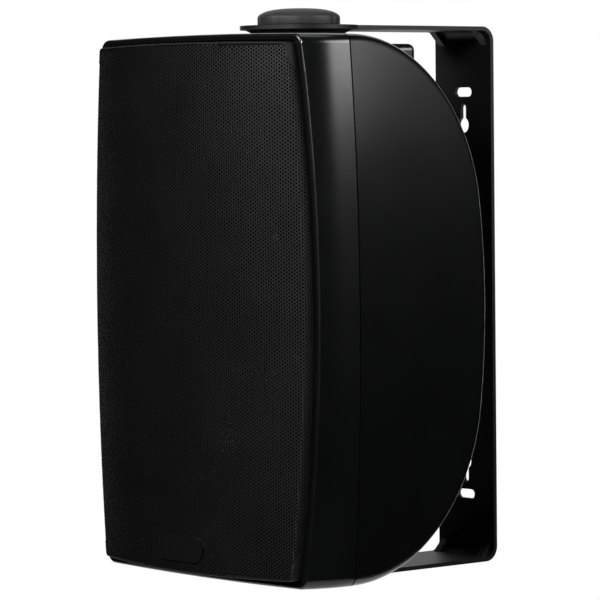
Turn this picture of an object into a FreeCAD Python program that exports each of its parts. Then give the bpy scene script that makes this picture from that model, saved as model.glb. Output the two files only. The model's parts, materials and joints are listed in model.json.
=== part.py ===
import FreeCAD, Part
import math
import os
import Sketcher
from types import SimpleNamespace

# Wall loudspeaker on a swivelling U bracket, in millimetres.
# The origin is the centre of the bracket's wall face: +Z up, the speaker's front toward -Y.
doc = FreeCAD.newDocument("loudspeaker")
sheet = doc.addObject("Spreadsheet::Sheet", "sizes")

driving = {
    # U bracket, bent from flat steel
    "bracket_height": 328.0,
    "bracket_width": 50.0,
    "bracket_sheet": 2.5,
    "axis_depth": 134.5,
    "bend_inner": 6.5,
    "arm_end_radius": 35.0,
    "pivot_hole": 9.0,
    "slot_length": 15.3,
    "slot_width": 5.7,
    "key_height": 104.0,
    "slot_rise": 20.3,
    "key_round": 9.7,
    "key_neck": 4.8,
    "key_travel": 12.9,
    "dart_offset": 19.0,
    "dart_width": 5.0,
    "dart_leg": 9.0,
    # cabinet outline
    "cabinet_height": 316.0,
    "seam_ahead": 48.0,
    "seam_half": 108.0,
    "barrel_radius": 1750.0,
    "crown_radius": 3500.0,
    "side_taper": 0.16,
    "back_behind": 68.0,
    "back_radius": 555.0,
    "sweep_radius": 107.0,
    "shell_wall": 3.5,
    "corner_round": 6.0,
    "seam_gap": 1.0,
    "gasket_width": 3.0,
    "gasket_inset": 0.8,
    # pivot pods on the rear shell
    "pod_half": 31.0,
    "pod_height": 153.0,
    "pod_behind": 66.0,
    "boss_radius": 27.0,
    "pad_radius": 32.0,
    "pad_thickness": 2.4,
    "clamp_gap": 0.05,
    "running_gap": 0.05,
    "stud_size": 8.0,
    "insert_size": 13.0,
    "insert_length": 30.0,
    "rib_reach": 40.0,
    "washer_size": 24.0,
    "washer_thickness": 1.2,
    "knob_size": 49.0,
    "knob_height": 9.0,
    "knob_lobe": 15.0,
    "screw_head": 16.0,
    "screw_head_height": 4.2,
    # front frame and baffle
    "frame_ahead": 79.0,
    "rim_ahead": 73.0,
    "rim_radius": 3100.0,
    "rim_barrel": 1150.0,
    "band_radius": 50.0,
    "lip_round": 1.6,
    "rim_inset": 9.7,
    "rim_margin": 3.5,
    "opening_corner": 4.0,
    "ledge_ahead": 69.0,
    "ledge_width": 4.0,
    "baffle_ahead": 62.0,
    "baffle_thickness": 8.0,
    "frame_wall": 6.0,
    # grille
    "grille_gap": 1.5,
    "grille_ahead": 94.2,
    "grille_bow": 330.0,
    "grille_sheet": 1.0,
    "grille_corner": 3.0,
    "grille_fold": 1.5,
    "mesh_border": 14.5,
    "mesh_margin": 6.0,
    "mesh_web": 5.6,
    "badge_width": 42.0,
    "badge_height": 15.0,
    "badge_thickness": 1.4,
    "badge_drop": 139.0,
    # woofer
    "woofer_drop": 57.0,
    "woofer_size": 165.0,
    "woofer_seat": 9.0,
    "woofer_flange": 3.5,
    "basket_depth": 50.0,
    "basket_foot": 46.0,
    "plate_size": 90.0,
    "plate_thickness": 5.0,
    "magnet_size": 95.0,
    "magnet_thickness": 16.0,
    "magnet_clearance": 8.0,
    "pole_size": 36.0,
    "pole_bore": 12.0,
    "coil_wall": 0.8,
    "coil_gap": 0.5,
    "cone_inset": 20.5,
    "coil_rise": 22.0,
    "cone_wall": 1.0,
    "cap_size": 50.0,
    "cap_lip": 1.2,
    "cap_rise": 8.0,
    "glue_gap": 0.15,
    "roll_radius": 4.6,
    # tweeter
    "tweeter_rise": 100.0,
    "tweeter_size": 98.0,
    "tweeter_plate": 4.0,
    "tweeter_dish": 14.0,
    "dome_size": 25.0,
    "dome_edge": 5.0,
    "dome_seat": 3.0,
    "tweeter_magnet": 60.0,
    "tweeter_magnet_thickness": 10.0,
    "tweeter_iron": 4.0,
    # port, crossover and terminals
    "port_bore": 30.0,
    "port_length": 66.0,
    "port_side": 68.0,
    "port_rise": 46.0,
    "board_width": 96.0,
    "board_height": 64.0,
    "board_rise": 52.0,
    "board_behind": 46.0,
    "bobbin_size": 28.0,
    "bobbin_bore": 10.0,
    "bobbin_height": 13.0,
    "bobbin_flange": 2.0,
    "capacitor_size": 12.0,
    "capacitor_length": 26.0,
    "resistor_length": 22.0,
    "resistor_height": 9.0,
    "resistor_width": 5.0,
    "resistor_inset": 14.0,
    "terminal_drop": 34.0,
    "terminal_width": 74.0,
    "terminal_height": 56.0,
    "cup_width": 48.0,
    "cup_height": 36.0,
    "cup_depth": 17.0,
    "lever_side": 9.5,
    "lever_width": 12.4,
    "lever_length": 15.0,
    "lever_hub": 6.8,
    "lever_pin": 2.4,
    # screws
    "post_side": 78.0,
    "post_rise": 116.0,
    "post_radius": 6.5,
    "tunnel_size": 8.6,
    "shell_screw": 4.0,
    "shell_screw_length": 16.0,
    "driver_screw": 4.0,
    "driver_screw_length": 11.0,
    "small_screw": 3.0,
    "board_screw_length": 9.0,
    "terminal_screw_length": 7.0,
}
for row, (name, value) in enumerate(driving.items(), 1):
    sheet.set("A%d" % row, name)
    sheet.set("B%d" % row, str(value))
    sheet.setAlias("B%d" % row, name)
doc.recompute()


# A dimension keeps its number beside the sheet formula that drives it.
class Dim:
    def __init__(self, value, text):
        self.value = value
        self.text = text

    def join(self, other, sign, value):
        return Dim(value, "(%s %s %s)" % (self.text, sign, other.text))

    def __add__(self, other):
        other = dim(other)
        return self.join(other, "+", self.value + other.value)

    def __sub__(self, other):
        other = dim(other)
        return self.join(other, "-", self.value - other.value)

    def __mul__(self, other):
        other = dim(other)
        return self.join(other, "*", self.value * other.value)

    def __truediv__(self, other):
        other = dim(other)
        return self.join(other, "/", self.value / other.value)

    def __radd__(self, other):
        return dim(other) + self

    def __rsub__(self, other):
        return dim(other) - self

    def __rmul__(self, other):
        return dim(other) * self

    def __neg__(self):
        return Dim(-self.value, "(0 - %s)" % self.text)


def root(size):
    return Dim(math.sqrt(size.value), "sqrt(%s)" % size.text)


def dim(value):
    if isinstance(value, Dim):
        return value
    return Dim(float(value), "(%.6f)" % value if value < 0 else "%.6f" % value)


s = SimpleNamespace(**{name: Dim(value, "sizes." + name) for name, value in driving.items()})


def ahead(distance):
    return -(s.axis_depth + distance)


def behind(distance):
    return distance - s.axis_depth


def bind(item, prop, size):
    item.setExpression(prop, dim(size).text)


turns = {
    "X": FreeCAD.Rotation(FreeCAD.Vector(0, 1, 0), 90),
    "Y": FreeCAD.Rotation(FreeCAD.Vector(1, 0, 0), -90),
    "Z": FreeCAD.Rotation(),
    "Y_back": FreeCAD.Rotation(FreeCAD.Vector(0, 1, 1), 180),
    "front": FreeCAD.Rotation(FreeCAD.Vector(1, 0, 0), 90),
    "down": FreeCAD.Rotation(FreeCAD.Vector(1, 0, 0), 180),
}


def place(item, turn, x, y, z):
    item.Placement = FreeCAD.Placement(FreeCAD.Vector(0, 0, 0), turns[turn])
    for letter, size in zip("xyz", (x, y, z)):
        bind(item, "Placement.Base." + letter, size)
    return item


def block(name, x, y, z):
    item = doc.addObject("Part::Box", name)
    for prop, span in zip(("Length", "Width", "Height"), (x, y, z)):
        bind(item, prop, dim(span[1]) - span[0])
    return place(item, "Z", x[0], y[0], z[0])


# A round bar along one axis; at gives its other two coordinates in x, y, z order.
def rod(name, axis, radius, span, at, end_radius=None):
    item = doc.addObject("Part::Cylinder" if end_radius is None else "Part::Cone", name)
    if end_radius is None:
        bind(item, "Radius", radius)
    else:
        bind(item, "Radius1", radius)
        bind(item, "Radius2", end_radius)
    bind(item, "Height", dim(span[1]) - span[0])
    where = list(at)
    where.insert("XYZ".index(axis), span[0])
    return place(item, axis, *where)


def fuse(name, items):
    item = doc.addObject("Part::MultiFuse", name)
    item.Shapes = items
    item.Refine = True
    return item


def common(name, items):
    item = doc.addObject("Part::MultiCommon", name)
    item.Shapes = items
    item.Refine = True
    return item


def cut(name, base, tools):
    item = doc.addObject("Part::Cut", name)
    item.Base = base
    item.Tool = tools[0] if len(tools) == 1 else fuse(name + "_tools", tools)
    item.Refine = True
    return item


# Loose solids of one kind, kept together as a single item.
def group(name, items):
    item = doc.addObject("Part::Compound", name)
    item.Links = items
    return item


def rounded(name, base, radius, chosen):
    doc.recompute()
    picked = [(number, radius, radius) for number, edge in enumerate(base.Shape.Edges, 1) if chosen(edge)]
    item = doc.addObject("Part::Fillet", name)
    item.Base = base
    item.Edges = picked
    return item


def origin_plane(body, role):
    return [feature for feature in body.Origin.OriginFeatures if feature.Role == role][0]


def new_sketch(body, name, role):
    sketch = body.newObject("Sketcher::SketchObject", name)
    sketch.AttachmentSupport = [(origin_plane(body, role), "")]
    sketch.MapMode = "FlatFace"
    return sketch


# Pins one end of a curve to a point given by two dimensions.
def pin(sketch, curve, end, x, y):
    for kind, axis, size in (("DistanceX", -2, dim(x)), ("DistanceY", -1, dim(y))):
        if abs(size.value) < 1e-9:
            sketch.addConstraint(Sketcher.Constraint("PointOnObject", curve, end, axis))
            continue
        if size.value > 0:
            index = sketch.addConstraint(Sketcher.Constraint(kind, -1, 1, curve, end, size.value))
        else:
            size = -size
            index = sketch.addConstraint(Sketcher.Constraint(kind, curve, end, -1, 1, size.value))
        sketch.setExpression("Constraints[%d]" % index, size.text)


def arc_between(start, stop, radius):
    half = (stop - start) * 0.5
    rise = math.sqrt(max(radius * radius - half.Length ** 2, 0.0))
    side = FreeCAD.Vector(-half.y, half.x, 0)
    side.normalize()
    centre = start + half + side * (rise if radius > 0 else -rise)
    angles = [math.atan2(p.y - centre.y, p.x - centre.x) for p in (start, stop)]
    if radius < 0:
        angles.reverse()
    circle = Part.Circle(centre, FreeCAD.Vector(0, 0, 1), abs(radius))
    return Part.ArcOfCircle(circle, angles[0], angles[1])


# Draws a closed outline. Each corner is (x, y) or (x, y, radius): a radius bends the run to the
# next corner, with its centre on the left for a positive radius and on the right for a negative one.
def outline(sketch, corners):
    points = [FreeCAD.Vector(dim(c[0]).value, dim(c[1]).value, 0) for c in corners]
    ends = []
    for number, corner in enumerate(corners):
        start = points[number]
        stop = points[(number + 1) % len(points)]
        if len(corner) == 2:
            curve = sketch.addGeometry(Part.LineSegment(start, stop))
            ends.append((curve, 1, 2))
            continue
        bend = dim(corner[2])
        curve = sketch.addGeometry(arc_between(start, stop, bend.value))
        ends.append((curve, 1, 2) if bend.value > 0 else (curve, 2, 1))
    for number, (curve, first, last) in enumerate(ends):
        after = ends[(number + 1) % len(ends)]
        sketch.addConstraint(Sketcher.Constraint("Coincident", curve, last, after[0], after[1]))
        pin(sketch, curve, first, corners[number][0], corners[number][1])
        if len(corners[number]) == 3:
            bend = dim(corners[number][2])
            bend = bend if bend.value > 0 else -bend
            index = sketch.addConstraint(Sketcher.Constraint("Radius", curve, bend.value))
            sketch.setExpression("Constraints[%d]" % index, bend.text)


# A turned piece: its profile is (radius, height) about its own Z axis.
def turned(name, profile, turn, x, y, z):
    body = doc.addObject("PartDesign::Body", name)
    sketch = new_sketch(body, name + "_profile", "XZ_Plane")
    outline(sketch, profile)
    spin = body.newObject("PartDesign::Revolution", name + "_turn")
    spin.Profile = sketch
    spin.ReferenceAxis = (sketch, ["V_Axis"])
    spin.Angle = 360
    body.Tip = spin
    return place(body, turn, x, y, z)


# A prism drawn on one origin plane and padded evenly to both sides.
def prism(name, role, corners, depth, turn, x, y, z):
    body = doc.addObject("PartDesign::Body", name)
    sketch = new_sketch(body, name + "_outline", role)
    outline(sketch, corners)
    pad = body.newObject("PartDesign::Pad", name + "_pad")
    pad.Profile = sketch
    pad.Midplane = True
    bind(pad, "Length", depth)
    body.Tip = pad
    return place(body, turn, x, y, z)


parts = []


def finish(item, label):
    item.Label = label
    parts.append(item)
    return item


# Pan-head screw along its own Z: the head's seat is at zero and the shank runs down.
def screw(name, shank, length, turn, x, y, z):
    head = shank * 0.95
    profile = [(0, -length), (shank * 0.35, -length), (shank / 2, -(length - shank * 0.5)), (shank / 2, 0),
               (head, 0), (head, shank * 0.3), (head * 0.62, shank * 0.62), (0, shank * 0.62)]
    return turned(name, profile, turn, x, y, z)


arm_top = s.bracket_height / 2
arm_under = arm_top - s.bracket_sheet
half_height = s.cabinet_height / 2
axis_y = -s.axis_depth
opening_half = s.seam_half - s.rim_inset
opening_top = half_height - s.rim_margin
grille_half = opening_half - s.grille_gap
grille_top = opening_top - s.grille_gap
woofer_bore = s.woofer_size / 2 - s.woofer_seat


# U bracket: strip with two bends, round arm ends, pivot holes, wall slots and keyholes
def make_bracket():
    bend_outer = s.bend_inner + s.bracket_sheet
    strip = []
    for sign in (1, -1):
        run = [(axis_y, arm_top * sign), (-bend_outer, arm_top * sign, -bend_outer),
               (0, (arm_top - bend_outer) * sign)]
        if sign < 0:
            run = [(0, -(arm_top - bend_outer), -bend_outer), (-bend_outer, -arm_top), (axis_y, -arm_top)]
        strip += run
    strip += [(axis_y, -arm_under), (-bend_outer, -arm_under, s.bend_inner),
              (-s.bracket_sheet, -(arm_top - bend_outer)),
              (-s.bracket_sheet, arm_top - bend_outer, s.bend_inner),
              (-bend_outer, arm_under), (axis_y, arm_under)]
    pieces = [prism("bracket_strip", "YZ_Plane", strip, s.bracket_width, "Z", 0, 0, 0)]
    for word, low, high in (("top", arm_under, arm_top), ("bottom", -arm_top, -arm_under)):
        pieces.append(rod("bracket_%s_end" % word, "Z", s.arm_end_radius, (low, high), (0, axis_y)))
    # pressed darts stiffen each bend on its inner side
    for side in (-1, 1):
        for sign in (-1, 1):
            corner = (arm_under + 0.4) * sign
            inner = -(s.bracket_sheet - 0.4)
            dart = [(inner, corner), (inner - s.dart_leg, corner), (inner, (arm_under - s.dart_leg) * sign)]
            name = "bracket_dart_%d" % (2 * side + sign + 4)
            pieces.append(prism(name, "YZ_Plane", dart, s.dart_width, "Z", s.dart_offset * side, 0, 0))
    whole = fuse("bracket_blank", pieces)
    holes = [rod("bracket_pivot_bore", "Z", s.pivot_hole / 2, (-arm_top - 1, arm_top + 1), (0, axis_y))]
    depth = (-s.bracket_sheet - 1, 1)
    for sign in (-1, 1):
        word = "low" if sign < 0 else "high"
        reach = (s.slot_length - s.slot_width) / 2
        middle = (s.key_height + s.slot_rise) * sign
        holes.append(block("slot_%s" % word, (-reach, reach), depth,
                           (middle - s.slot_width / 2, middle + s.slot_width / 2)))
        for side in (-1, 1):
            holes.append(rod("slot_%s_end_%d" % (word, side + 1), "Y", s.slot_width / 2, depth,
                             (reach * side, middle)))
        tip = (s.key_height + s.key_travel - s.key_neck / 2) * sign
        low, high = (s.key_height * sign, tip) if sign > 0 else (tip, s.key_height * sign)
        holes.append(rod("key_%s_round" % word, "Y", s.key_round / 2, depth, (0, s.key_height * sign)))
        holes.append(block("key_%s_neck" % word, (-s.key_neck / 2, s.key_neck / 2), depth, (low, high)))
        holes.append(rod("key_%s_tip" % word, "Y", s.key_neck / 2, depth, (0, tip)))
    return finish(cut("bracket_cut", whole, holes), "bracket")


# Two wide cones bow and taper the sides of whatever they are shared with.
def side_cones(name, half, front, rear):
    cones = []
    shrink = s.side_taper * (rear - front)
    for side in (-1, 1):
        cones.append(rod("%s_%d" % (name, side + 1), "Y", s.barrel_radius, (front, rear),
                         ((half - s.barrel_radius) * side, 0), s.barrel_radius - shrink))
    return common(name, cones)


# Housing form: a side profile, flat above and swept round into a bowed back, turned about a far axis
# so that the top is slightly crowned; the lower half is the same below.
def housing(name, front, inset, half):
    sweep = s.sweep_radius - inset
    back = s.back_radius - inset
    rear = behind(s.back_behind - inset)
    hub = rear - back
    centre_z = half_height - s.sweep_radius
    reach = back - sweep
    run = root(reach * reach - centre_z * centre_z)
    share = back / reach
    below = s.pod_half
    axis_z = half_height - s.crown_radius
    start = -below - axis_z
    top = s.crown_radius - inset
    profile = [(start, front), (top, front), (top, hub + run, sweep),
               (centre_z * share - axis_z, hub + run * share, back),
               (start, hub + root(back * back - below * below))]
    sides = side_cones(name + "_side", half + s.side_taper, front - 1, rear + 1)
    halves = []
    for word, side in (("upper", 1), ("lower", -1)):
        z = (dim(0), half_height + 1) if side > 0 else (-half_height - 1, dim(0))
        span = block("%s_%s_span" % (name, word), (-half - 10, half + 10), (front - 1, rear + 1), z)
        tapered = common("%s_%s_sides" % (name, word), [sides, span])
        ring = turned("%s_%s_ring" % (name, word), profile, "Y", 0, 0, axis_z * side)
        halves.append(common("%s_%s" % (name, word), [tapered, ring]))
    return fuse(name, halves)


# Two wide cylinders crown the top and bottom of whatever they are shared with.
def crowns(name, height, front, rear):
    return [rod("%s_%d" % (name, side + 1), "Y", s.crown_radius, (front, rear),
                (0, (height - s.crown_radius) * side)) for side in (-1, 1)]


# A prism along Y with the same bowed sides and crowned ends.
def barrel(name, half, height, bow, front, rear):
    slab = block(name + "_slab", (-half - 1, half + 1), (front, rear), (-height - 1, height + 1))
    bows = [rod("%s_bow_%d" % (name, side + 1), "Y", bow, (front, rear), ((half - bow) * side, 0))
            for side in (-1, 1)]
    return common(name, [slab] + bows + crowns(name + "_crown", height, front, rear))


# The same prism drawn as a sketch, with its corners rounded.
def soft_barrel(name, half, height, bow, corner, front, rear):
    crown = s.crown_radius
    near = half - corner - height * height / (2 * bow)
    edge = height - near * near / (2 * crown)
    high = edge - corner
    wide = half - high * high / (2 * bow)
    flat = wide - corner
    corners = [(wide, -high, bow), (wide, high, corner), (flat, edge, crown), (-flat, edge, corner),
               (-wide, high, bow), (-wide, -high, corner), (-flat, -edge, crown), (flat, -edge, corner)]
    return prism(name, "XZ_Plane", corners, rear - front, "Z", 0, (front + rear) / 2, 0)


# Screw centres of the two drivers, seen from the front
def woofer_fixings():
    reach = s.woofer_size / 2 - 4
    angles = [math.radians(22.5 + 45 * number) for number in range(8)]
    return [(reach * math.cos(angle), reach * math.sin(angle) - s.woofer_drop) for angle in angles]


def tweeter_fixings():
    reach = s.tweeter_size / 2 - 5
    angles = [math.radians(45 + 90 * number) for number in range(4)]
    return [(reach * math.cos(angle), reach * math.sin(angle) + s.tweeter_rise) for angle in angles]


post_places = [(side * 1.0, rise * 1.0) for side in (-1, 1) for rise in (-1, 0, 1)]
seat_ahead = s.seam_ahead - 8


# Rear shell: hollow moulding with pods that carry the pivots, screw posts and a terminal window
def make_rear_shell():
    front = ahead(s.seam_ahead - s.seam_gap / 2)
    rear = behind(s.back_behind + 10)
    outer = housing("shell_body", front, dim(0), s.seam_half)

    def crease(edge):
        box = edge.BoundBox
        middle = edge.valueAt((edge.FirstParameter + edge.LastParameter) / 2)
        return abs(middle.x) > 50 and box.YLength > 4 and box.ZLength < 300

    outer = rounded("shell_rounded", outer, driving["corner_round"], crease)
    pod = block("pod_block", (-s.pod_half, s.pod_half), (front, behind(s.pod_behind)),
                (-s.pod_height, s.pod_height))

    def pod_edge(edge):
        middle = edge.valueAt((edge.FirstParameter + edge.LastParameter) / 2)
        return middle.y > front.value + 1

    pod = rounded("pod_rounded", pod, 4.0, pod_edge)
    land = arm_under - s.pad_thickness - s.clamp_gap
    bosses = [rod("boss_top", "Z", s.boss_radius, (s.pod_height - 12, land), (0, axis_y)),
              rod("boss_bottom", "Z", s.boss_radius, (-land, -(s.pod_height - 12)), (0, axis_y))]
    outside = fuse("shell_outside", [outer, pod] + bosses)
    wall = s.shell_wall
    hollow = housing("hollow_body", front - 6, wall, s.seam_half - wall + 6 * s.side_taper)
    pod_hollow = block("pod_hollow", (-(s.pod_half - wall), s.pod_half - wall),
                       (front - 6, behind(s.pod_behind - wall)),
                       (-(s.pod_height - wall), s.pod_height - wall))
    inside = fuse("shell_inside", [hollow, pod_hollow])
    skin = cut("shell_skin", outside, [inside])
    # solid pieces inside the skin, trimmed to the outside form
    solids = []
    for word, sign in (("top", 1), ("bottom", -1)):
        low, high = s.pod_height - s.insert_length, s.pod_height
        rib = (low + 4, high)
        if sign < 0:
            low, high = -high, -low
            rib = (low, high - 4)
        solids.append(rod("pivot_post_%s" % word, "Z", s.insert_size / 2 + 5, (low, high), (0, axis_y)))
        solids.append(block("pivot_web_%s" % word, (-s.pod_half, s.pod_half),
                            (axis_y - 2, axis_y + 2), (low, high)))
        solids.append(block("pivot_rib_%s" % word, (-2, 2),
                            (axis_y - s.rib_reach, behind(s.pod_behind)), rib))
    holes = []
    for number, (side, rise) in enumerate(post_places):
        at = (s.post_side * side, s.post_rise * rise)
        solids.append(rod("screw_post_%d" % number, "Y", s.post_radius, (front, rear), at))
        holes.append(rod("screw_tunnel_%d" % number, "Y", s.tunnel_size / 2, (ahead(seat_ahead), rear), at))
        holes.append(rod("screw_way_%d" % number, "Y", s.shell_screw / 2 + 0.3,
                         (front - 1, ahead(seat_ahead) + 1), at))
    for side in (-1, 1):
        for rise in (-1, 1):
            at = ((s.board_width / 2 - 6) * side, s.board_rise + (s.board_height / 2 - 6) * rise)
            number = 2 * side + rise + 4
            solids.append(rod("board_post_%d" % number, "Y", 4, (behind(s.board_behind + 1.6), rear), at))
            holes.append(rod("board_pilot_%d" % number, "Y", s.small_screw / 2 + s.running_gap,
                             (behind(s.board_behind), behind(s.board_behind + s.board_screw_length + 2)), at))
    land_z = -s.terminal_drop
    seat = behind(s.back_behind - 4)
    solids.append(block("terminal_backing", (-(s.terminal_width / 2 + 4), s.terminal_width / 2 + 4),
                        (seat - 4, rear),
                        (land_z - s.terminal_height / 2 - 4, land_z + s.terminal_height / 2 + 4)))
    fill = common("shell_fill", [fuse("shell_solids", solids), outside])
    holes.append(block("terminal_land", (-(s.terminal_width / 2 + 0.5), s.terminal_width / 2 + 0.5),
                       (seat, rear), (land_z - s.terminal_height / 2 - 0.5,
                                      land_z + s.terminal_height / 2 + 0.5)))
    holes.append(block("terminal_window", (-(s.cup_width / 2 + 0.5), s.cup_width / 2 + 0.5), (seat - 6, rear),
                       (land_z - s.cup_height / 2 - 0.5, land_z + s.cup_height / 2 + 0.5)))
    for side in (-1, 1):
        for rise in (-1, 1):
            at = ((s.terminal_width / 2 - 5) * side, land_z + (s.terminal_height / 2 - 5) * rise)
            number = 2 * side + rise + 4
            holes.append(rod("terminal_pilot_%d" % number, "Y", s.small_screw / 2 + s.running_gap,
                             (seat - 5, seat + 1), at))
    for word, low, high in (("top", s.pod_height - s.insert_length - 1, land + 1),
                            ("bottom", -(land + 1), -(s.pod_height - s.insert_length - 1))):
        holes.append(rod("insert_bore_%s" % word, "Z", s.insert_size / 2, (low, high), (0, axis_y)))
    return finish(cut("shell_cut", fuse("shell_solid", [skin, fill]), holes), "rear_shell")


# Front frame: bowed band, hollow-curved rim, grille ledge and baffle
def make_front_frame():
    rear = ahead(s.seam_ahead + s.seam_gap / 2)
    front = ahead(s.frame_ahead)
    core = s.seam_half - s.band_radius
    z = (-half_height - 1, half_height + 1)
    pieces = [block("band_core", (-core, core), (front, rear), z)]
    for side, turn in ((-1, "Y"), (1, "Y_back")):
        ring = doc.addObject("Part::Torus", "band_%d" % (side + 1))
        bind(ring, "Radius1", s.barrel_radius - s.band_radius)
        bind(ring, "Radius2", s.band_radius)
        place(ring, turn, (s.seam_half - s.barrel_radius) * side, ahead(s.seam_ahead), 0)
        x = (core, s.seam_half + 2) if side > 0 else (-s.seam_half - 2, -core)
        flank = block("band_flank_%d" % (side + 1), x, (front, rear), z)
        pieces.append(common("band_side_%d" % (side + 1), [flank, ring]))
    bowl = rod("rim_bow", "X", s.rim_radius, (-s.seam_half - 10, s.seam_half + 10),
               (ahead(s.rim_ahead + s.rim_radius), 0))
    crowned = common("frame_crowned", [fuse("frame_whole", pieces)]
                     + crowns("frame_crown", half_height, front, rear))
    blank = cut("frame_blank", crowned, [bowl])

    def corner(edge):
        middle = edge.valueAt((edge.FirstParameter + edge.LastParameter) / 2)
        return abs(middle.z) > 0.9 * half_height.value and abs(middle.x) > 60 and edge.BoundBox.YLength > 10

    blank = rounded("frame_rounded", blank, driving["corner_round"], corner)

    def lip(edge):
        box = edge.BoundBox
        return box.YMax < ahead(s.rim_ahead - 1).value and max(box.XLength, box.ZLength) > 3

    blank = rounded("frame_lip", blank, driving["lip_round"], lip)
    ledge = s.ledge_width
    corner_in = s.opening_corner
    wells = [soft_barrel("opening", opening_half, opening_top, s.rim_barrel, corner_in,
                         front - 1, ahead(s.ledge_ahead)),
             soft_barrel("ledge_opening", opening_half - ledge, opening_top - ledge, s.rim_barrel, corner_in,
                         front, ahead(s.baffle_ahead))]
    back_well = soft_barrel("back_well", s.seam_half - s.frame_wall, half_height - s.frame_wall,
                            s.barrel_radius, corner_in,
                            ahead(s.baffle_ahead - s.baffle_thickness), rear + 1)
    through = (front, rear + 1)
    woofer_at = (0, -s.woofer_drop)
    tweeter_at = (0, s.tweeter_rise)
    wells += [back_well,
              rod("woofer_opening", "Y", woofer_bore, through, woofer_at),
              rod("tweeter_opening", "Y", s.tweeter_magnet / 2 + 3, through, tweeter_at),
              rod("port_opening_left", "Y", s.port_bore / 2 + 2.6, through, (-s.port_side, s.port_rise)),
              rod("port_opening_right", "Y", s.port_bore / 2 + 2.6, through, (s.port_side, s.port_rise))]
    for number, (x, z) in enumerate(woofer_fixings() + tweeter_fixings()):
        wells.append(rod("driver_pilot_%d" % number, "Y", s.driver_screw / 2 + s.running_gap,
                         through, (x, z)))
    hollowed = cut("frame_hollow", blank, wells)
    bosses = []
    pilots = []
    for number, (side, rise) in enumerate(post_places):
        at = (s.post_side * side, s.post_rise * rise)
        bosses.append(rod("frame_boss_%d" % number, "Y", s.post_radius,
                          (ahead(s.baffle_ahead - s.baffle_thickness), rear), at))
        pilots.append(rod("frame_pilot_%d" % number, "Y", s.shell_screw / 2 + s.running_gap,
                          (ahead(s.seam_ahead + 9), rear + 1), at))
    return finish(cut("frame_drilled", fuse("frame_bossed", [hollowed] + bosses), pilots), "front_frame")


# Soft gasket that closes the seam
def make_gasket():
    front = ahead(s.seam_ahead + s.seam_gap / 2)
    rear = ahead(s.seam_ahead - s.seam_gap / 2)
    inset = s.gasket_inset
    edge = s.gasket_inset + s.gasket_width
    outer = soft_barrel("gasket_outer", s.seam_half - inset, half_height - inset, s.barrel_radius,
                        s.corner_round, front, rear)
    inner = soft_barrel("gasket_inner", s.seam_half - edge, half_height - edge, s.barrel_radius,
                        s.corner_round, front - 1, rear + 1)
    return finish(cut("gasket_ring", outer, [inner]), "shell_gasket")


# Square openings in a grid: tall bars and long bars share the openings between the webs.
def mesh_openings(front, rear):
    columns, rows = 12, 19
    wide = grille_half - s.mesh_border
    tall = grille_top - s.mesh_margin
    across = wide * 2 / columns
    upward = tall * 2 / rows
    edge = s.mesh_web / 2
    bars = []
    for number in range(columns):
        x = (across * number - wide + edge, across * (number + 1) - wide - edge)
        bars.append(block("mesh_column_%d" % number, x, (front, rear), (-tall, tall)))
    rungs = []
    for number in range(rows):
        z = (upward * number - tall + edge, upward * (number + 1) - tall - edge)
        rungs.append(block("mesh_row_%d" % number, (-wide, wide), (front, rear), z))
    return common("mesh_openings", [group("mesh_columns", bars), group("mesh_rows", rungs)])


# Perforated steel grille: bowed front with edges turned back onto the ledge
def make_grille():
    rear = ahead(s.ledge_ahead)
    front = ahead(s.grille_ahead)
    reach = s.grille_bow
    outer = common("grille_form", [barrel("grille_outer", grille_half, grille_top, s.rim_barrel, front, rear),
                                   rod("grille_bowl", "Z", reach, (-grille_top - 1, grille_top + 1),
                                       (0, front + reach))])

    def corner(edge):
        box = edge.BoundBox
        return box.XLength < 0.01 and box.ZLength < 0.01

    outer = rounded("grille_rounded", outer, driving["grille_corner"], corner)

    def fold(edge):
        return edge.BoundBox.YMax < rear.value - 3

    outer = rounded("grille_folded", outer, driving["grille_fold"], fold)
    skin = s.grille_sheet
    inside = barrel("grille_inner", grille_half - skin, grille_top - skin, s.rim_barrel, front, rear + 1)
    bowl = rod("grille_hollow_bowl", "Z", reach - skin, (-grille_top, grille_top), (0, front + reach))
    inner = common("grille_hollow", [inside, bowl])
    sheet_metal = cut("grille_sheet_cut", outer, [inner])
    finish(cut("grille_mesh", sheet_metal, [mesh_openings(front - 1, rear)]), "grille")
    # oval plate fixed low on the grille, its face left plain
    low = -s.badge_drop - s.badge_height
    high = -s.badge_drop + s.badge_height
    hub = (0, front + reach)
    ring = cut("badge_ring", rod("badge_face", "Z", reach + s.badge_thickness, (low, high), hub),
               [rod("badge_back", "Z", reach, (low - 1, high + 1), hub)])
    straight = (s.badge_width - s.badge_height) / 2
    span = (front - 10, front + 20)
    round_end = s.badge_height / 2
    pill = fuse("badge_pill", [block("badge_bar", (-straight, straight), span,
                                     (-s.badge_drop - round_end, -s.badge_drop + round_end)),
                               rod("badge_end_left", "Y", round_end, span, (-straight, -s.badge_drop)),
                               rod("badge_end_right", "Y", round_end, span, (straight, -s.badge_drop))])
    return finish(common("badge_plate", [ring, pill]), "badge")


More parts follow.
